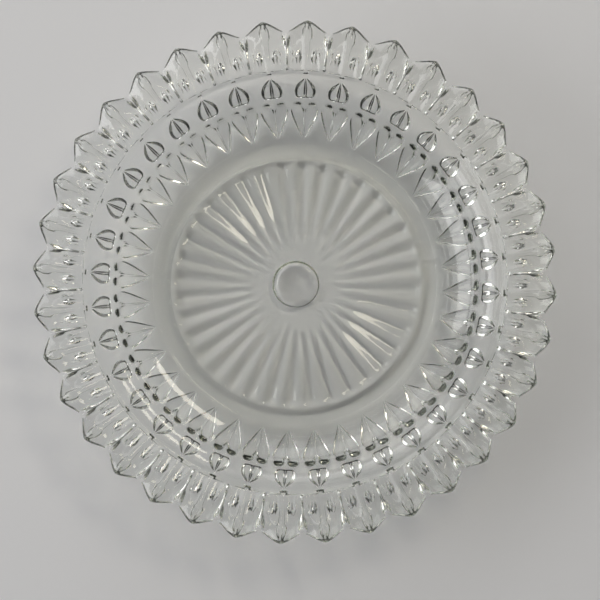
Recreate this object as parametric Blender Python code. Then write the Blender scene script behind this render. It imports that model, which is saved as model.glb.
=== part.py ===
"""A round dish of pressed clear glass, in one piece.

It stands on a foot ring. Its floor has a sunburst pressed into the underside, round a plain dimple.
Its wall rises in two coves, with a ledge between them. Outside, it carries a ring of pointed leaves
and, above them, a ring of smaller ribs, shaped like eyes. Its rim is a crown of teeth that rises
outwards, each with two panels on top, a peak near its point and a keel below.
Everything round it repeats once for each tooth, and the first tooth points along +X.
"""

import math

import bmesh
import bpy

MM = 0.001  # metres in a millimetre: the dimensions below are in millimetres

# The whole dish
TEETH = 36
TIP_RADIUS = 75.0
HEIGHT = 21.5

# Inside: the floor, the lower cove, the ledge and the upper cove
FLOOR_HEIGHT = 5.0
FLOOR_RADIUS = 42.5
LEDGE_RADIUS = 52.2
LEDGE_HEIGHT = 10.6
LEDGE_WIDTH = 1.2
LEDGE_RISE = 0.3
MOUTH_RADIUS = 59.6
MOUTH_HEIGHT = 15.6
COVE_TURN = 55.0  # degrees of an ellipse's quarter that each cove spans
LOWER_COVE_STEPS = 3
UPPER_COVE_STEPS = 2

# Tops of the teeth
LIP_RADIUS = 60.4
NOTCH_START = 61.8
CROWN_START = 69.0
PEAK_RADIUS = 70.8
RIM_START = 16.4  # the ridge of a tooth rises from here at the lip
RIM_END = 20.5  # to here where the crown starts
PANEL_DROP = 0.5  # from the ridge to a panel's edge
NOTCH_DROP_INNER = 1.7  # from the ridge to the bottom of a notch
NOTCH_DROP_OUTER = 4.0
PANEL_SHARE_INNER = 0.40  # from the ridge to a panel's edge, as a share of the pitch
PANEL_SHARE_OUTER = 0.29
CROWN_SLOPE = 0.85  # how steeply a peak falls to the notch on each side

# Outline of the rim
VALLEY_RADIUS = 72.4
POINT_HEIGHT = 20.0
VALLEY_HEIGHT = 15.9
EDGE_THICKNESS = 1.3  # at the bottom of a notch
POINT_THICKNESS = 3.0

# Undersides of the teeth
KEEL_RISE = 1.0
KEEL_SHARE = 0.34  # half a keel's width, as a share of the pitch
UNDER_VALLEY = 2.2  # how far the underside rises between two keels
UNDER_STEPS = (0.6, 0.2)  # shares of the way from the wall to the outline

# Outside wall: two rings of ribs on a plain cone
WALL_FOOT_RADIUS = 43.6
WALL_FOOT_HEIGHT = 1.0
WALL_TOP_RADIUS = 62.2
WALL_TOP_HEIGHT = 12.4
EYE_END = 61.3
EYE_WIDEST = 56.8
EYE_DEPTH = 2.0
EYE_SHARE = 0.31  # half an eye's width at its widest, as a share of the pitch
BETWEEN_RIBS = 54.4
LEAF_WIDEST = 53.0
LEAF_MIDDLE = 48.5
LEAF_DEPTH = 1.6
LEAF_SHARE = 0.46
LEAF_MIDDLE_SHARE = 0.32
POINT_SHARE = 0.06  # half a rib's width where it comes to a point

# Foot ring and the hollow inside it
FOOT_OUTER = 42.4
FOOT_INNER = 38.8
FOOT_CHAMFER = 1.6
HOLLOW_HEIGHT = 1.2

# Sunburst of flutes under the floor, and the round dimple in its middle
FLUTE_INNER = 11.5
FLUTE_OUTER = 36.2
FLUTE_DEPTH = 0.7
FLUTE_SHARE = 0.25  # half a flute's width, as a share of the pitch
DIMPLE_RADIUS = 5.2
DIMPLE_BEVEL = 1.9
DIMPLE_DEPTH = 1.1

WELD = 0.001  # points nearer than this are one point
SHARP_ANGLE = 25.0  # degrees between faces, over which their edge is a crisp one

# Glass
GLASS_COLOUR = (0.93, 0.95, 0.93, 1.0)
GLASS_ROUGHNESS = 0.02
GLASS_IOR = 1.52

PITCH = 2 * math.pi / TEETH


def clear_scene():
    for thing in list(bpy.data.objects):
        bpy.data.objects.remove(thing)


def mix(start, end, share):
    return start + (end - start) * share


def cove(start, end, steps):
    """Points of an elliptical arc that leaves start level and steepens towards end."""
    (r0, z0), (r1, z1) = start, end
    turn = math.radians(COVE_TURN)
    points = []
    for step in range(1, steps + 1):
        angle = turn * step / steps
        out = math.sin(angle) / math.sin(turn)
        rise = (1 - math.cos(angle)) / (1 - math.cos(turn))
        points.append((mix(r0, r1, out), mix(z0, z1, rise)))
    return points


def tooth_ring(ridge, edge, notch, edge_share=0.25):
    """One pitch of a ring, from the middle of a tooth to the middle of the next one.

    ridge, edge and notch are (radius, height). The edge lies edge_share of the pitch from the ridge.
    """
    return [
        (*ridge, 0.0),
        (*edge, edge_share),
        (*notch, 0.5),
        (*edge, 1.0 - edge_share),
        (*ridge, 1.0),
    ]


def plain_ring(radius, height):
    """One pitch of a ring of the turned body, the same at every angle."""
    point = (radius, height)
    return tooth_ring(point, point, point)


def rim_ring(radius):
    """A ring across the tops of the teeth, where their ridges rise evenly."""
    along = (radius - LIP_RADIUS) / (CROWN_START - LIP_RADIUS)
    ridge = mix(RIM_START, RIM_END, along)
    drop = mix(NOTCH_DROP_INNER, NOTCH_DROP_OUTER, along)
    share = mix(PANEL_SHARE_INNER, PANEL_SHARE_OUTER, along)
    return tooth_ring((radius, ridge), (radius, ridge - PANEL_DROP), (radius, ridge - drop), share)


def peak_ring():
    """The ring through the peaks of the teeth, which fall away on both sides."""
    width = PITCH * PEAK_RADIUS
    edge = HEIGHT - CROWN_SLOPE * width * PANEL_SHARE_OUTER
    notch = HEIGHT - CROWN_SLOPE * width * 0.5
    return tooth_ring(
        (PEAK_RADIUS, HEIGHT), (PEAK_RADIUS, edge), (PEAK_RADIUS, notch), PANEL_SHARE_OUTER
    )


def outline_ring(point, valley):
    """A ring that follows the rim's outline, with the heights of its points and of its notches."""
    flank = mix(VALLEY_RADIUS, TIP_RADIUS, 0.5)
    return tooth_ring(
        (TIP_RADIUS, point), (flank, mix(point, valley, 0.5)), (VALLEY_RADIUS, valley)
    )


def under_ring(along):
    """A ring of the teeth's undersides, this share of the way from the wall to the outline."""
    ridge_radius = mix(WALL_TOP_RADIUS, TIP_RADIUS, along)
    notch_radius = mix(WALL_TOP_RADIUS, VALLEY_RADIUS, along)
    keel = WALL_TOP_HEIGHT + KEEL_RISE * along
    return tooth_ring(
        (ridge_radius, keel),
        (mix(ridge_radius, notch_radius, 0.5), keel),
        (notch_radius, keel + UNDER_VALLEY * math.sqrt(along)),
        KEEL_SHARE,
    )


def wall_ring(radius, depth=0.0, share=0.25):
    """A ring of the outside wall, whose ribs stand out from the cone by depth."""
    along = (radius - WALL_FOOT_RADIUS) / (WALL_TOP_RADIUS - WALL_FOOT_RADIUS)
    height = mix(WALL_FOOT_HEIGHT, WALL_TOP_HEIGHT, along)
    plain = (radius, height)
    return tooth_ring((radius, height - depth), plain, plain, share)


def flute_ring(radius, depth):
    """A ring of the sunburst, whose ridges between the flutes stand down by depth."""
    plain = (radius, HOLLOW_HEIGHT)
    return tooth_ring((radius, HOLLOW_HEIGHT - depth), plain, plain, FLUTE_SHARE)


def inside_rings():
    """The floor's edge, the two coves and the ledge between them."""
    floor_edge = (FLOOR_RADIUS, FLOOR_HEIGHT)
    ledge_start = (LEDGE_RADIUS, LEDGE_HEIGHT)
    ledge_end = (LEDGE_RADIUS + LEDGE_WIDTH, LEDGE_HEIGHT + LEDGE_RISE)
    mouth = (MOUTH_RADIUS, MOUTH_HEIGHT)
    line = [floor_edge]
    line += cove(floor_edge, ledge_start, LOWER_COVE_STEPS)
    line.append(ledge_end)
    line += cove(ledge_end, mouth, UPPER_COVE_STEPS)
    line.append((LIP_RADIUS, RIM_START))
    return [plain_ring(*point) for point in line]


def rim_rings():
    """The teeth, from the lip over their peaks to the outline and back under them."""
    rings = [rim_ring(NOTCH_START), rim_ring(CROWN_START), peak_ring()]
    rings.append(outline_ring(POINT_HEIGHT, VALLEY_HEIGHT))
    rings.append(outline_ring(POINT_HEIGHT - POINT_THICKNESS, VALLEY_HEIGHT - EDGE_THICKNESS))
    rings += [under_ring(along) for along in UNDER_STEPS]
    return rings


def wall_rings():
    """The outside wall, from under the teeth down to the foot."""
    return [
        wall_ring(WALL_TOP_RADIUS),
        wall_ring(EYE_END, share=POINT_SHARE),
        wall_ring(EYE_WIDEST, EYE_DEPTH, EYE_SHARE),
        wall_ring(BETWEEN_RIBS, share=EYE_SHARE),
        wall_ring(LEAF_WIDEST, LEAF_DEPTH, LEAF_SHARE),
        wall_ring(LEAF_MIDDLE, LEAF_DEPTH, LEAF_MIDDLE_SHARE),
        wall_ring(WALL_FOOT_RADIUS, share=POINT_SHARE),
    ]


def underside_rings():
    """The foot ring, the sunburst and the dimple."""
    return [
        plain_ring(FOOT_OUTER, 0.0),
        plain_ring(FOOT_INNER, 0.0),
        plain_ring(FOOT_INNER - FOOT_CHAMFER, HOLLOW_HEIGHT),
        flute_ring(FLUTE_OUTER, FLUTE_DEPTH),
        flute_ring(FLUTE_INNER, 0.0),
        plain_ring(DIMPLE_RADIUS + DIMPLE_BEVEL, HOLLOW_HEIGHT),
        plain_ring(DIMPLE_RADIUS, HOLLOW_HEIGHT + DIMPLE_DEPTH),
    ]


def add_pitch(mesh):
    """The faces of one pitch, ring by ring."""
    rows = []
    for ring in inside_rings() + rim_rings() + wall_rings() + underside_rings():
        row = []
        for radius, height, share in ring:
            angle = share * PITCH
            place = (radius * math.cos(angle), radius * math.sin(angle), height)
            row.append(mesh.verts.new([MM * length for length in place]))
        rows.append(row)
    for inner, outer in zip(rows, rows[1:]):
        for column in range(len(inner) - 1):
            here, after = column, column + 1
            mesh.faces.new((inner[here], outer[here], outer[after], inner[after]))


def repeat_pitch(mesh):
    """Turns copies of the one pitch about the axis, and welds them where they meet."""
    one_pitch = mesh.verts[:] + mesh.edges[:] + mesh.faces[:]
    bmesh.ops.spin(
        mesh,
        geom=one_pitch,
        axis=(0, 0, 1),
        cent=(0, 0, 0),
        angle=PITCH * (TEETH - 1),
        steps=TEETH - 1,
        use_duplicate=True,
    )
    bmesh.ops.remove_doubles(mesh, verts=mesh.verts[:], dist=WELD * MM)


def build_dish():
    mesh = bmesh.new()
    add_pitch(mesh)
    repeat_pitch(mesh)
    bmesh.ops.holes_fill(mesh, edges=mesh.edges[:], sides=0)
    bmesh.ops.recalc_face_normals(mesh, faces=mesh.faces[:])
    data = bpy.data.meshes.new("glass_dish")
    mesh.to_mesh(data)
    mesh.free()
    data.shade_smooth()
    data.set_sharp_from_angle(angle=math.radians(SHARP_ANGLE))
    dish = bpy.data.objects.new("glass_dish", data)
    bpy.context.scene.collection.objects.link(dish)
    return dish


def glass_material():
    glass = bpy.data.materials.new("glass")
    glass.use_nodes = True
    shader = glass.node_tree.nodes["Principled BSDF"]
    shader.inputs["Base Color"].default_value = GLASS_COLOUR
    shader.inputs["Metallic"].default_value = 0.0
    shader.inputs["Roughness"].default_value = GLASS_ROUGHNESS
    shader.inputs["IOR"].default_value = GLASS_IOR
    shader.inputs["Transmission Weight"].default_value = 1.0
    return glass


def main():
    clear_scene()
    dish = build_dish()
    dish.data.materials.append(glass_material())


main()
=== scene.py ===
"""A pressed-glass dish on a pale table, seen from above in soft window light.

The dish is one surface, built as a row of rings over one tooth's pitch and repeated round the dish.
The rings run from the middle of the floor up the inside, over the rim, down the outside wall and back
to the middle of the underside.
"""

import math

import bpy
import numpy as np
from mathutils import Matrix, Vector


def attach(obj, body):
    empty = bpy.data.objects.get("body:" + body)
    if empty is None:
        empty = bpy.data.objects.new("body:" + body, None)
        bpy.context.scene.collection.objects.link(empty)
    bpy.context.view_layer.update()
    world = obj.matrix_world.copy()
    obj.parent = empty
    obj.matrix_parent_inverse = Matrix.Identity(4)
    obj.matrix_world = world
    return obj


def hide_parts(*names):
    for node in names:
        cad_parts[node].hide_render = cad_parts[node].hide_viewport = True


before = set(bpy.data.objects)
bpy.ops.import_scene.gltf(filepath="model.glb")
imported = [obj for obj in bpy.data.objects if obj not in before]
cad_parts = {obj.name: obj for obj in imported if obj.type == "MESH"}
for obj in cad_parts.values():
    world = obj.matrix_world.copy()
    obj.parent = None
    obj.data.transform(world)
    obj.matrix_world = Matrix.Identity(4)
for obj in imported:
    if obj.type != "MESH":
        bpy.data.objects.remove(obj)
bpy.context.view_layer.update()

MM = 0.001  # metres in a millimetre

# The dish, in millimetres: the same driving dimensions as the CAD solid
TEETH = 36
PITCH = 2 * math.pi / TEETH
TIP_RADIUS = 75.0
HEIGHT = 21.5

# Inside: the floor, the lower cove, the ledge and the upper cove
FLOOR_HEIGHT = 5.0
FLOOR_RADIUS = 42.5
FLOOR_BEAD_HALF = 0.45  # half the width of the fine raised ring at the floor's edge
FLOOR_BEAD_RISE = 0.2
FLOOR_TURN = 12.0  # degrees of its ellipse that the lower cove starts at
COVE_TURN = 55.0  # degrees of its ellipse that each cove ends at
LEDGE_RADIUS = 52.2
LEDGE_HEIGHT = 10.6
LEDGE_WIDTH = 1.2
LEDGE_RISE = 0.3
MOUTH_RADIUS = 59.6
MOUTH_HEIGHT = 15.6
LIP_RADIUS = 60.3

# Tops of the teeth: a bead along the middle, a sunk panel each side of it, a rail, and the notch
RIM_START = 16.4  # the ridge of a tooth rises from here at the lip
RIM_END = 20.5  # to here where the crown starts
CREASE = 0.12  # over which the crease between panel and notch is rounded
BEAD_HALF = 0.5
PANEL_START = 61.0
PANEL_SUNK = 0.6
PANEL_WALL = 0.25
PANEL_SHARE_INNER = 0.40  # from the ridge to a panel's edge, as a share of the pitch
PANEL_SHARE_OUTER = 0.29
RAIL_HALF = 0.45
RAIL_RISE = 0.4
NOTCH_START = 60.9
NOTCH_SOFT = 1.2  # the length over which a notch begins
NOTCH_DROP_INNER = 1.7  # from the ridge to the bottom of a notch
NOTCH_DROP_OUTER = 4.0
PLEAT = 0.035  # how far the steps of a notch's wall stand out of it, as a share of its depth

# Crowns of the teeth: two side facets and two front ones that meet under a knob
CROWN_START = 69.0
CROWN_CREASE = 0.15
PEAK_RADIUS = 70.8
PEAK_HEIGHT = 21.1
SIDE_SLOPE = 0.80
SIDE_TURN = 0.12
FRONT_SLOPE = 0.25
FRONT_TURN = 0.72
KNOB_RADIUS = 1.9
KNOB_RISE = 1.3

# Outline of the rim
VALLEY_RADIUS = 72.4
TIP_ROUND = 0.85  # 0 for straight flanks, 1 for a full wave
POINT_THICKNESS = 3.0
EDGE_THICKNESS = 1.3  # at the bottom of a notch
EDGE_ROUND = 0.3

# Undersides of the teeth: a keel with a groove and two diamond pits, and a valley between two keels
KEEL_RISE = 1.0
KEEL_SHARE = 0.34  # half a keel's width, as a share of the pitch
UNDER_VALLEY = 2.2
UNDER_START = 3.0  # the length over which a valley begins
UNDER_GROOVE = 0.8
UNDER_GROOVE_HALF = 0.4
DIAMOND_RADIUS = 66.0
DIAMOND_ACROSS = 2.4
DIAMOND_LENGTH = 6.6
DIAMOND_WIDTH = 3.8
DIAMOND_DEPTH = 2.4

# Outside wall: a ring of leaves and, above it, a ring of eyes, on a plain cone
WALL_FOOT_RADIUS = 43.6
WALL_FOOT_HEIGHT = 1.0
WALL_TOP_RADIUS = 62.2
WALL_TOP_HEIGHT = 12.4
LEAF_END = 53.9
LEAF_BLUNT = 0.8
LEAF_DEPTH = 1.7
LEAF_SWELL = 0.84  # where along its half wave a leaf's depth ends: less than 1 leaves a blunt end
LEAF_SHARE = 0.48
LEAF_GROOVE = 0.45
EYE_START = 54.9
EYE_WIDEST = 56.8
EYE_END = 61.3
EYE_BLUNT = 0.6
EYE_END_SHARE = 0.7  # how wide an eye is at its blunt end, to its widest
EYE_DEPTH = 2.3
EYE_SHARE = 0.31
EYE_GROOVE = 0.7
POINT_SHARE = 0.03  # half a rib's width where it comes to a point
WIDEST_SHARE = 0.485  # the furthest out that a rib's own columns reach

# Underneath: the foot ring, the hollow, the sunburst of flutes and the round dimple
FOOT_OUTER = 42.4
FOOT_INNER = 38.8
FOOT_CHAMFER = 1.6
HOLLOW_HEIGHT = 1.2
FLUTE_INNER = 11.5
FLUTE_OUTER = 36.7
FLUTE_DEPTH = 0.85
FLUTE_ROUND = 0.12  # 0 for a V between two flat flanks, 1 for a wave
FLUTE_FADE = 0.8  # how fast a flute grows shallower inwards
DIMPLE_RADIUS = 5.2
DIMPLE_BEVEL = 1.9
DIMPLE_DEPTH = 1.1
MIDDLE_RADIUS = 1.5  # of the small flat face that closes each side

# Columns of the mesh over half a pitch, and how many of them the plainer faces skip
HALF_COLUMNS = 14
TURNED_EVERY = 4
FLUTED_EVERY = 2

# Steps of the mesh along each part, as shares of the way
LIP_STEPS = (0.4, 0.75, 0.95)
CROWN_STEPS = (0.1, 0.2, 0.26, 0.31, 0.36, 0.42, 0.5, 0.6, 0.75, 0.9, 1.0)
PLEAT_STEPS = (0.12, 0.25, 0.38, 0.5, 0.62, 0.75, 0.88)
RAIL_STEPS = (1, 0.45, 0.1)
VALLEY_STEPS = (0.15, 0.35, 0.55, 0.75, 0.9, 1)
DIMPLE_STEPS = (0.97, 0.85, 0.7, 0.55, 0.4, 0.25, 0.1, 0.0)
UNDER_STEPS = (
    0.97, 0.9, 0.8, 0.7, 0.6, 0.53, 0.49, 0.45, 0.41,
    0.37, 0.33, 0.3, 0.27, 0.23, 0.19, 0.15, 0.12, 0.06,
)

# The glass
GLASS_IOR = 1.52
GLASS_TINT = (0.84, 0.855, 0.80, 1)
GLASS_DENSITY = 85.0
WAVE_SCALE = 90.0
WAVE_DETAIL = 3.0
WAVE_STRENGTH = 0.12
WAVE_HEIGHT = 0.0001
SCUFF_HEIGHT = 0.0002  # how far up the foot is worn, in metres
SCUFF_ROUGHNESS = 0.25

# The table, in metres
TABLE_HALF = 3.0
TABLE_GAP = 0.05 * MM
TABLE_COLOUR = (0.83, 0.83, 0.845, 1)
TABLE_ROUGHNESS = 0.9

# The room: its light from the horizon up, and the side of it that is in shade
ROOM_LIGHT = 0.28
ROOM_STOPS = ((0.0, 0.6), (0.16, 1.0), (0.34, 1.0), (0.62, 0.72))
SHADE_FROM = -0.75
SHADE_TO = 0.1
SHADE_LIGHT = 0.05

# The lights: name, size, power, place in the picture's own frame, colour
LIGHTS = (
    ("window", (1.8, 1.4), 26.0, (-1.9, -0.25, 0.62), (1, 1, 1)),
    ("soft_box", (0.8, 0.8), 1.6, (-0.6, 0.5, 0.85), (1, 1, 1)),
    ("side_window", (2.0, 1.2), 14.0, (-0.7, 1.75, 0.5), (1, 1, 1)),
    ("warm_lamp", (0.42, 0.18), 2.0, (0.45, 0.55, 0.75), (1, 0.93, 0.78)),
)

# The camera
CAMERA_TURN = math.radians(3.0)  # of the picture's frame, from the dish's
CAMERA_PLACE = (0.0134, -0.0234, 0.420)
CAMERA_TARGET = (0.0075, -0.01435, 0.017)
LENS = 84.3
SENSOR = 36.0
SHIFT = (-0.034, 0.0525)
CLIP_START = 0.01


def mix(start, end, share):
    return start + (end - start) * share


def eased(count, amount=0.6):
    """Shares from 0 to 1, closer together near both ends."""
    steps = np.linspace(0, 1, count + 1)
    return mix(steps, (1 - np.cos(math.pi * steps)) / 2, amount)


def smooth_step(x):
    """0 below 0 and 1 above 1, with a soft rise between."""
    x = np.clip(x, 0, 1)
    return x * x * (3 - 2 * x)


def smooth_min(a, b, blend):
    """The lower of two heights, with the crease between them rounded over a height of blend."""
    h = np.clip(0.5 + 0.5 * (b - a) / blend, 0, 1)
    return b * (1 - h) + a * h - blend * h * (1 - h)


def both_halves(half):
    """Shares of the whole pitch, from one ridge to the next, from those of its first half."""
    half = np.asarray(half)
    return np.concatenate([half, 1 - half[-2:0:-1]])


def columns(edge_share, inner=9):
    """A ring's columns, with one on each edge of the pattern and the rest spread between."""
    near = edge_share * eased(inner)
    far = edge_share + (0.5 - edge_share) * eased(HALF_COLUMNS - inner)[1:]
    return both_halves(np.concatenate([near, far]))


def folded(share):
    """Distance from the middle of the tooth, as a share of the pitch: 0 to 0.5."""
    return np.minimum(share, 1 - share)


class Surface:
    """The dish's rings, each a row of points over one pitch: radius, height and share of the pitch."""

    def __init__(self):
        self.rows = []

    def ring(self, radius, height, share):
        shape = share.shape
        self.rows.append(
            (np.broadcast_to(radius, shape), np.broadcast_to(height, shape), share)
        )


def cove(start, end, steps, start_turn=0.0):
    """Points of an elliptical arc that steepens from start to end, without start itself."""
    (r0, z0), (r1, z1) = start, end
    first, last = math.radians(start_turn), math.radians(COVE_TURN)
    points = []
    for step in range(1, steps + 1):
        angle = mix(first, last, step / steps)
        out = (math.sin(angle) - math.sin(first)) / (math.sin(last) - math.sin(first))
        rise = (math.cos(first) - math.cos(angle)) / (math.cos(first) - math.cos(last))
        points.append((mix(r0, r1, out), mix(z0, z1, rise)))
    return points


def softened(points, share=0.3):
    """The same line with each inner corner cut in two, so that no edge is knife sharp."""
    line = [points[0]]
    for before, corner, after in zip(points, points[1:], points[2:]):
        line.append(tuple(mix(c, b, share) for b, c in zip(before, corner)))
        line.append(tuple(mix(c, a, share) for a, c in zip(after, corner)))
    line.append(points[-1])
    return line


def inside(surface):
    """The floor and its bead, the lower cove, the ledge and the upper cove, all turned."""
    share = panel_columns(LIP_RADIUS)[::TURNED_EVERY]
    floor_edge = (FLOOR_RADIUS, FLOOR_HEIGHT)
    ledge = (LEDGE_RADIUS, LEDGE_HEIGHT)
    ledge_end = (LEDGE_RADIUS + LEDGE_WIDTH, LEDGE_HEIGHT + LEDGE_RISE)
    for radius in np.linspace(MIDDLE_RADIUS, FLOOR_RADIUS - 1.3, 4):
        surface.ring(radius, FLOOR_HEIGHT, share)
    for part in np.linspace(-1, 1, 9):
        radius = FLOOR_RADIUS + FLOOR_BEAD_HALF * (part - 1)
        surface.ring(radius, FLOOR_HEIGHT + FLOOR_BEAD_RISE * (1 - part**2), share)
    for radius, height in cove(floor_edge, ledge, 10, FLOOR_TURN)[:-1]:
        surface.ring(radius, height, share)
    mouth = (MOUTH_RADIUS, MOUTH_HEIGHT)
    before = cove(floor_edge, ledge, 20, FLOOR_TURN)[-2]
    after = cove(ledge_end, mouth, 18)[0]
    for radius, height in softened([before, ledge, ledge_end, after])[1:-1]:
        surface.ring(radius, height, share)
    for radius, height in cove(ledge_end, mouth, 8):
        surface.ring(radius, height, share)


def rim_along(radius):
    """How far a radius is from the start of the notches to the start of the crown: 0 to 1."""
    return np.clip((radius - NOTCH_START) / (CROWN_START - NOTCH_START), 0, 1)


def panel_edge(radius):
    """Where a tooth's panel ends and the notch begins, as a share of the pitch."""
    return mix(PANEL_SHARE_INNER, PANEL_SHARE_OUTER, rim_along(radius))


def panel_columns(radius):
    """Columns at the foot and the top of each step across a tooth: bead, panel, rail and pleats."""
    width = PITCH * radius
    edge = panel_edge(radius)
    bead = [0, BEAD_HALF, BEAD_HALF + PANEL_WALL]
    panel = [mix(bead[-1], edge * width - RAIL_HALF, 0.5)]
    rail = [edge * width - RAIL_HALF * part for part in RAIL_STEPS]
    pleats = [mix(edge, 0.5, part) for part in PLEAT_STEPS]
    across = np.array(bead + panel + rail) / width
    return both_halves(across.tolist() + pleats + [0.5])


def outline(share):
    """The rim's outline from above: a rounded point to each tooth and a rounded valley between two."""
    towards = 1 - folded(share) / 0.5
    rise = mix(towards, smooth_step(towards), TIP_ROUND)
    return VALLEY_RADIUS + (TIP_RADIUS - VALLEY_RADIUS) * rise


def pleated(share):
    """How far down a notch's wall a share of its width is, in two steep steps."""
    return share - PLEAT * np.sin(4 * math.pi * share)


def tooth_top(radius, share):
    """The bead, the sunk panels beside it, the notch walls, and the four facets up to the knob."""
    across = folded(share) * PITCH * radius
    edge = panel_edge(radius) * PITCH * radius
    half = PITCH * radius / 2
    started = smooth_step((radius - PANEL_START) / PANEL_WALL)
    sunk = smooth_step((across - BEAD_HALF) / PANEL_WALL)
    rail = smooth_step((across - edge + RAIL_HALF) / PANEL_WALL)
    rim_top = mix(RIM_START, RIM_END, (radius - NOTCH_START) / (CROWN_START - NOTCH_START))
    flat = rim_top - started * (PANEL_SUNK * sunk - RAIL_RISE * rail)
    begun = smooth_step((radius - NOTCH_START) / NOTCH_SOFT)
    drop = begun * mix(NOTCH_DROP_INNER, NOTCH_DROP_OUTER, rim_along(radius))
    notch = rim_top - drop * pleated(np.clip((across - edge) / (half - edge), 0, 1))
    side = PEAK_HEIGHT - SIDE_SLOPE * across - SIDE_TURN * (radius - PEAK_RADIUS)
    front = PEAK_HEIGHT - FRONT_SLOPE * (radius - PEAK_RADIUS) - FRONT_TURN * across
    crown = smooth_min(side, front, CROWN_CREASE)
    top = smooth_min(smooth_min(flat, notch, CREASE), crown, CROWN_CREASE)
    reach = np.clip((across**2 + (radius - PEAK_RADIUS) ** 2) / KNOB_RADIUS**2, 0, 1)
    knob = np.where(reach < 1, HEIGHT - KNOB_RISE * (1 - np.sqrt(1 - reach)), 0)
    return np.maximum(top, knob)


def edge_under(share):
    """The height of the rim's lower edge, which rises to each point and falls to each notch."""
    edge = outline(share) - EDGE_ROUND
    return tooth_top(edge, share) - mix(POINT_THICKNESS, EDGE_THICKNESS, folded(share) / 0.5)


def tooth_under(radius, share):
    """The keel, its two diamonds and the valley each side of it, from the wall to the rim's edge."""
    across = folded(share) * PITCH * radius
    keel_edge = KEEL_SHARE * PITCH * radius
    half = PITCH * radius / 2
    along = np.clip((radius - WALL_TOP_RADIUS) / (outline(share) - WALL_TOP_RADIUS), 0, 1)
    keel = mix(WALL_TOP_HEIGHT + KEEL_RISE * along, edge_under(share), along**3)
    valley = pleated(np.clip((across - keel_edge) / (half - keel_edge), 0, 1))
    begun = smooth_step((radius - WALL_TOP_RADIUS) / UNDER_START)
    keel = keel + UNDER_VALLEY * begun * valley * (1 - along**6)
    groove = np.clip(1 - across / UNDER_GROOVE_HALF, 0, 1) * (along * (1 - along) * 4) ** 2
    keel = keel + UNDER_GROOVE * groove
    from_middle = abs(across - DIAMOND_ACROSS) / (DIAMOND_WIDTH / 2)
    from_middle = from_middle + abs(radius - DIAMOND_RADIUS) / (DIAMOND_LENGTH / 2)
    return keel + DIAMOND_DEPTH * np.clip(1 - from_middle, 0, 1)


def rim(surface):
    """Over the teeth from the mouth to the outline, and back under them to the wall."""
    share = panel_columns(LIP_RADIUS)
    for step in LIP_STEPS:
        radius = mix(MOUTH_RADIUS, LIP_RADIUS, step**2)
        surface.ring(radius, mix(MOUTH_HEIGHT, RIM_START - 0.1, step), share)
    sink = [PANEL_START + PANEL_WALL * part for part in (0, 0.5, 1)]
    panels = np.linspace(PANEL_START + 0.8, CROWN_START, 9).tolist()
    for radius in [LIP_RADIUS + 0.15] + sink + panels:
        share = panel_columns(radius)
        surface.ring(radius, tooth_top(np.full_like(share, radius), share), share)
    share = panel_columns(CROWN_START)
    edge = outline(share) - EDGE_ROUND
    for along in CROWN_STEPS:
        radius = mix(CROWN_START, edge, along)
        surface.ring(radius, tooth_top(radius, share), share)
    top = tooth_top(edge, share)
    low = edge_under(share)
    surface.ring(edge + EDGE_ROUND, mix(top, low, 0.3), share)
    surface.ring(edge + EDGE_ROUND, mix(top, low, 0.7), share)
    surface.ring(edge, low, share)
    share = under_columns()
    for along in UNDER_STEPS:
        radius = mix(WALL_TOP_RADIUS, outline(share) - EDGE_ROUND, along)
        surface.ring(radius, tooth_under(radius, share), share)


def under_columns():
    """Columns at the edges of the diamonds and the valleys under the teeth."""
    width = PITCH * DIAMOND_RADIUS
    first = (DIAMOND_ACROSS - DIAMOND_WIDTH / 2) / width
    last = (DIAMOND_ACROSS + DIAMOND_WIDTH / 2) / width
    keel = [0, UNDER_GROOVE_HALF / width]
    diamond = np.linspace(first, last, 7).tolist()
    valley = [mix(last, 0.5, part) for part in VALLEY_STEPS]
    return both_halves(keel + diamond + valley)


def leaf_opening(radius):
    """A leaf's width at a radius, to its widest: a point at the foot of the wall, widest at its end."""
    along = np.clip((radius - WALL_FOOT_RADIUS) / (LEAF_END - WALL_FOOT_RADIUS), 0, 1)
    return np.sin(math.pi / 2 * along)


def eye_opening(radius):
    """An eye's width at a radius, to its widest: blunt at its lower end, a point at its upper one."""
    blunt = np.sqrt(np.clip(1 - ((EYE_WIDEST - radius) / (EYE_WIDEST - EYE_START)) ** 2, 0, 1))
    point = np.cos(math.pi / 2 * np.clip((radius - EYE_WIDEST) / (EYE_END - EYE_WIDEST), 0, 1))
    return np.where(radius < EYE_WIDEST, mix(EYE_END_SHARE, 1.0, blunt), point)


def lobes(across, groove):
    """A rib's section over half its width: one swelling lobe, with a groove along the middle."""
    across = np.clip(across, 0, 1)
    whole = np.sqrt(1 - across**2)
    lobe = np.sqrt(np.clip(1 - (2 * across - 1) ** 2, 0, 1))
    return mix(whole, lobe, groove)


def rib(radius):
    """The half width, as a share of the pitch, the depth and the groove of the rib at a radius."""
    if radius <= LEAF_END:
        opening = float(leaf_opening(radius))
        along = (radius - WALL_FOOT_RADIUS) / (LEAF_END - WALL_FOOT_RADIUS)
        swell = math.sin(math.pi * LEAF_SWELL * float(along))
        return max(LEAF_SHARE * opening, POINT_SHARE), LEAF_DEPTH * swell, LEAF_GROOVE
    if EYE_START <= radius <= EYE_END:
        opening = float(eye_opening(radius))
        end = math.sqrt(max(0.0, min(1.0, (radius - EYE_START) / EYE_BLUNT)))
        return max(EYE_SHARE * opening, POINT_SHARE), EYE_DEPTH * opening**0.7 * end, EYE_GROOVE
    return None, 0.0, 0.0


def leaf_end(radius, across):
    """How much of a leaf's depth is left towards its blunt end, where each lobe ends in an arc."""
    end = LEAF_END - 2 * LEAF_BLUNT * (2 * np.clip(across, 0, 1) - 1) ** 2
    return np.sqrt(np.clip((end - radius) / LEAF_BLUNT, 0, 1))


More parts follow.
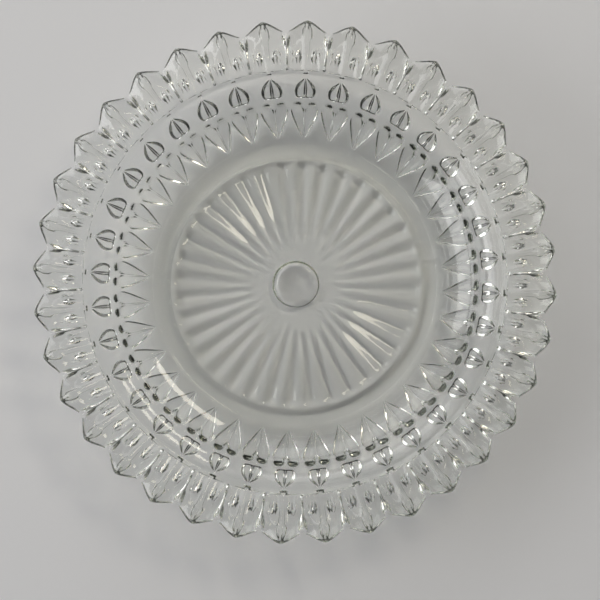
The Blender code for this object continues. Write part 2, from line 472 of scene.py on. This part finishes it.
def wall(surface):
    """The outside wall: a ring of leaves and, above it, a ring of eyes, on a plain cone."""
    upper = np.linspace(EYE_END, EYE_START + EYE_BLUNT, 11).tolist()
    upper += [EYE_START + 0.35, EYE_START + 0.12, EYE_START]
    lower = np.linspace(LEAF_END, LEAF_END - 3 * LEAF_BLUNT, 6).tolist()
    lower += np.linspace(LEAF_END - 3 * LEAF_BLUNT, WALL_FOOT_RADIUS, 10)[1:].tolist()
    edge = None
    for radius in upper + lower:
        half, depth, groove = rib(radius)
        edge = half or edge
        share = columns(min(edge, WIDEST_SHARE))
        across = folded(share) / edge
        along = (radius - WALL_TOP_RADIUS) / (WALL_FOOT_RADIUS - WALL_TOP_RADIUS)
        cone = mix(WALL_TOP_HEIGHT, WALL_FOOT_HEIGHT, along)
        if radius <= LEAF_END:
            depth = depth * leaf_end(radius, across)
        surface.ring(radius, cone - depth * lobes(across, groove), share)


def underside(surface):
    """The foot ring, the hollow with its sunburst, and the dimple."""
    share = columns(0.25)
    foot = [
        (WALL_FOOT_RADIUS, WALL_FOOT_HEIGHT),
        (FOOT_OUTER, 0.0),
        (FOOT_INNER, 0.0),
        (FOOT_INNER - FOOT_CHAMFER, HOLLOW_HEIGHT),
        (FLUTE_OUTER - 0.3, HOLLOW_HEIGHT),
    ]
    for radius, height in softened(foot, 0.15)[1:-1]:
        surface.ring(radius, height, share[::TURNED_EVERY])
    share = share[::FLUTED_EVERY]
    wave = mix(1 - folded(share) / 0.5, 0.5 + 0.5 * np.cos(2 * math.pi * share), FLUTE_ROUND)
    for along in eased(14):
        radius = mix(FLUTE_OUTER, FLUTE_INNER, along)
        swell = min(1, along / 0.03) * (1 - along) ** FLUTE_FADE
        surface.ring(radius, HOLLOW_HEIGHT - FLUTE_DEPTH * swell * wave, share)
    share = share[:: TURNED_EVERY // FLUTED_EVERY]
    for outside in (1, 0.15):
        surface.ring(DIMPLE_RADIUS + DIMPLE_BEVEL + outside, HOLLOW_HEIGHT, share)
    for along in DIMPLE_STEPS:
        radius = DIMPLE_RADIUS + DIMPLE_BEVEL * along
        surface.ring(radius, HOLLOW_HEIGHT + DIMPLE_DEPTH * (1 - along**2), share)
    surface.ring(MIDDLE_RADIUS, HOLLOW_HEIGHT + DIMPLE_DEPTH, share)


def stitched(first, second, per_first, per_second):
    """The faces between two rings, where one may have several points to each of the other's."""
    faces = []
    coarse = min(per_first, per_second)
    a_step, b_step = per_first // coarse, per_second // coarse
    for i in range(coarse):
        ahead = [first + (i * a_step + k) % per_first for k in range(a_step + 1)]
        behind = [second + (i * b_step + k) % per_second for k in range(b_step + 1)]
        faces.append(ahead[::-1] + behind)
    return faces


def dish_mesh():
    """The whole closed surface, with each ring repeated round the dish and joined to the one before."""
    surface = Surface()
    inside(surface)
    rim(surface)
    wall(surface)
    underside(surface)
    points, faces = [], []
    start = 0
    for radius, height, share in surface.rows:
        angle = ((np.arange(TEETH)[:, None] + share) * PITCH).ravel()
        radius = np.tile(radius, TEETH)
        height = np.tile(height, TEETH)
        ring = np.stack([radius * np.cos(angle), radius * np.sin(angle), height], axis=1) * MM
        if points:
            faces += stitched(start - len(points[-1]), start, len(points[-1]), len(ring))
        points.append(ring)
        start += len(ring)
    faces.append(list(range(len(points[0]))))
    faces.append(list(range(start - 1, start - 1 - len(points[-1]), -1)))
    mesh = bpy.data.meshes.new("pressed_dish")
    mesh.from_pydata(np.concatenate(points).tolist(), [], faces)
    mesh.shade_smooth()
    mesh.update()
    return mesh


def add_waves(nodes, links, where, shader):
    """The faint unevenness that the mould leaves in the surface."""
    waves = nodes.new("ShaderNodeTexNoise")
    waves.inputs["Scale"].default_value = WAVE_SCALE
    waves.inputs["Detail"].default_value = WAVE_DETAIL
    bump = nodes.new("ShaderNodeBump")
    bump.inputs["Strength"].default_value = WAVE_STRENGTH
    bump.inputs["Distance"].default_value = WAVE_HEIGHT
    links.new(where.outputs["Object"], waves.inputs["Vector"])
    links.new(waves.outputs["Fac"], bump.inputs["Height"])
    links.new(bump.outputs["Normal"], shader.inputs["Normal"])


def add_scuffs(nodes, links, where, shader):
    """The wear of the foot, where it stands."""
    split = nodes.new("ShaderNodeSeparateXYZ")
    scuffed = nodes.new("ShaderNodeMapRange")
    scuffed.inputs["From Min"].default_value = SCUFF_HEIGHT
    scuffed.inputs["From Max"].default_value = 0.0
    scuffed.inputs["To Min"].default_value = 0.0
    scuffed.inputs["To Max"].default_value = SCUFF_ROUGHNESS
    links.new(where.outputs["Object"], split.inputs["Vector"])
    links.new(split.outputs["Z"], scuffed.inputs["Value"])
    links.new(scuffed.outputs["Result"], shader.inputs["Roughness"])


def glass():
    """Clear glass that is tinted by its depth."""
    material = bpy.data.materials.new("clear_glass")
    material.use_nodes = True
    nodes, links = material.node_tree.nodes, material.node_tree.links
    shader = nodes["Principled BSDF"]
    shader.inputs["Base Color"].default_value = (1, 1, 1, 1)
    shader.inputs["Roughness"].default_value = 0.0
    shader.inputs["IOR"].default_value = GLASS_IOR
    shader.inputs["Transmission Weight"].default_value = 1.0
    absorb = nodes.new("ShaderNodeVolumeAbsorption")
    absorb.inputs["Color"].default_value = GLASS_TINT
    absorb.inputs["Density"].default_value = GLASS_DENSITY
    links.new(absorb.outputs["Volume"], nodes["Material Output"].inputs["Volume"])
    where = nodes.new("ShaderNodeTexCoord")
    add_scuffs(nodes, links, where, shader)
    add_waves(nodes, links, where, shader)
    return material


def build_dish():
    """The visible dish, in place of the CAD's solid."""
    dish = bpy.data.objects.new("pressed_dish", dish_mesh())
    bpy.context.scene.collection.objects.link(dish)
    dish.data.materials.append(glass())
    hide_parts("glass_dish")
    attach(dish, "root")


def build_table():
    """A plain pale table, a hair below the foot so that the two faces do not coincide."""
    mesh = bpy.data.meshes.new("table")
    corners = ((-1, -1), (1, -1), (1, 1), (-1, 1))
    places = [(x * TABLE_HALF, y * TABLE_HALF, -TABLE_GAP) for x, y in corners]
    mesh.from_pydata(places, [], [(0, 1, 2, 3)])
    table = bpy.data.objects.new("table", mesh)
    bpy.context.scene.collection.objects.link(table)
    material = bpy.data.materials.new("pale_table")
    material.use_nodes = True
    shader = material.node_tree.nodes["Principled BSDF"]
    shader.inputs["Base Color"].default_value = TABLE_COLOUR
    shader.inputs["Roughness"].default_value = TABLE_ROUGHNESS
    mesh.materials.append(material)


def photo_frame(x, y, z):
    """A place given along the picture's own right, up and towards the viewer, in the dish's frame."""
    c, s = math.cos(CAMERA_TURN), math.sin(CAMERA_TURN)
    return (x * c - y * s, x * s + y * c, z)


def build_room():
    """A soft grey room, brightest above the horizon and in shade on one side."""
    world = bpy.data.worlds.new("room")
    world.use_nodes = True
    nodes, links = world.node_tree.nodes, world.node_tree.links
    background = nodes["Background"]
    background.inputs["Strength"].default_value = ROOM_LIGHT
    where = nodes.new("ShaderNodeTexCoord")
    split = nodes.new("ShaderNodeSeparateXYZ")
    links.new(where.outputs["Generated"], split.inputs["Vector"])
    ramp = nodes.new("ShaderNodeValToRGB")
    links.new(split.outputs["Z"], ramp.inputs["Fac"])
    stops = ramp.color_ramp.elements
    while len(stops) < len(ROOM_STOPS):
        stops.new(1.0)
    for stop, (position, grey) in zip(stops, ROOM_STOPS):
        stop.position = position
        stop.color = (grey, grey, grey, 1)
    side = nodes.new("ShaderNodeMapRange")
    side.inputs["From Min"].default_value = SHADE_FROM
    side.inputs["From Max"].default_value = SHADE_TO
    side.inputs["To Min"].default_value = SHADE_LIGHT
    side.inputs["To Max"].default_value = 1.0
    links.new(split.outputs["Y"], side.inputs["Value"])
    both = nodes.new("ShaderNodeVectorMath")
    both.operation = "MULTIPLY"
    links.new(ramp.outputs["Color"], both.inputs[0])
    links.new(side.outputs["Result"], both.inputs[1])
    links.new(both.outputs["Vector"], background.inputs["Color"])
    bpy.context.scene.world = world


def build_lights():
    """The lamps, each turned towards the dish."""
    for name, size, power, place, colour in LIGHTS:
        lamp = bpy.data.lights.new(name, "AREA")
        lamp.shape = "RECTANGLE"
        lamp.size, lamp.size_y = size
        lamp.energy = power
        lamp.color = colour
        light = bpy.data.objects.new(name, lamp)
        bpy.context.scene.collection.objects.link(light)
        place = Vector(photo_frame(*place))
        light.location = place
        light.rotation_euler = (-place).to_track_quat("-Z", "Y").to_euler()


def build_camera():
    """The camera, close to straight above, with the picture's up along its own."""
    data = bpy.data.cameras.new("camera")
    data.lens = LENS
    data.sensor_width = SENSOR
    data.shift_x, data.shift_y = SHIFT
    data.clip_start = CLIP_START
    camera = bpy.data.objects.new("camera", data)
    bpy.context.scene.collection.objects.link(camera)
    place = Vector(photo_frame(*CAMERA_PLACE))
    back = (place - Vector(photo_frame(*CAMERA_TARGET))).normalized()
    right = Vector(photo_frame(0, 1, 0)).cross(back).normalized()
    turn = Matrix((right, back.cross(right), back)).transposed().to_4x4()
    camera.matrix_world = Matrix.Translation(place) @ turn
    bpy.context.scene.camera = camera


build_camera()
build_dish()
build_table()
build_room()
build_lights()
bpy.context.scene.view_settings.view_transform = "Standard"
bpy.context.scene.cycles.blur_glossy = 0.0  # keeps the light that the glass throws on the table
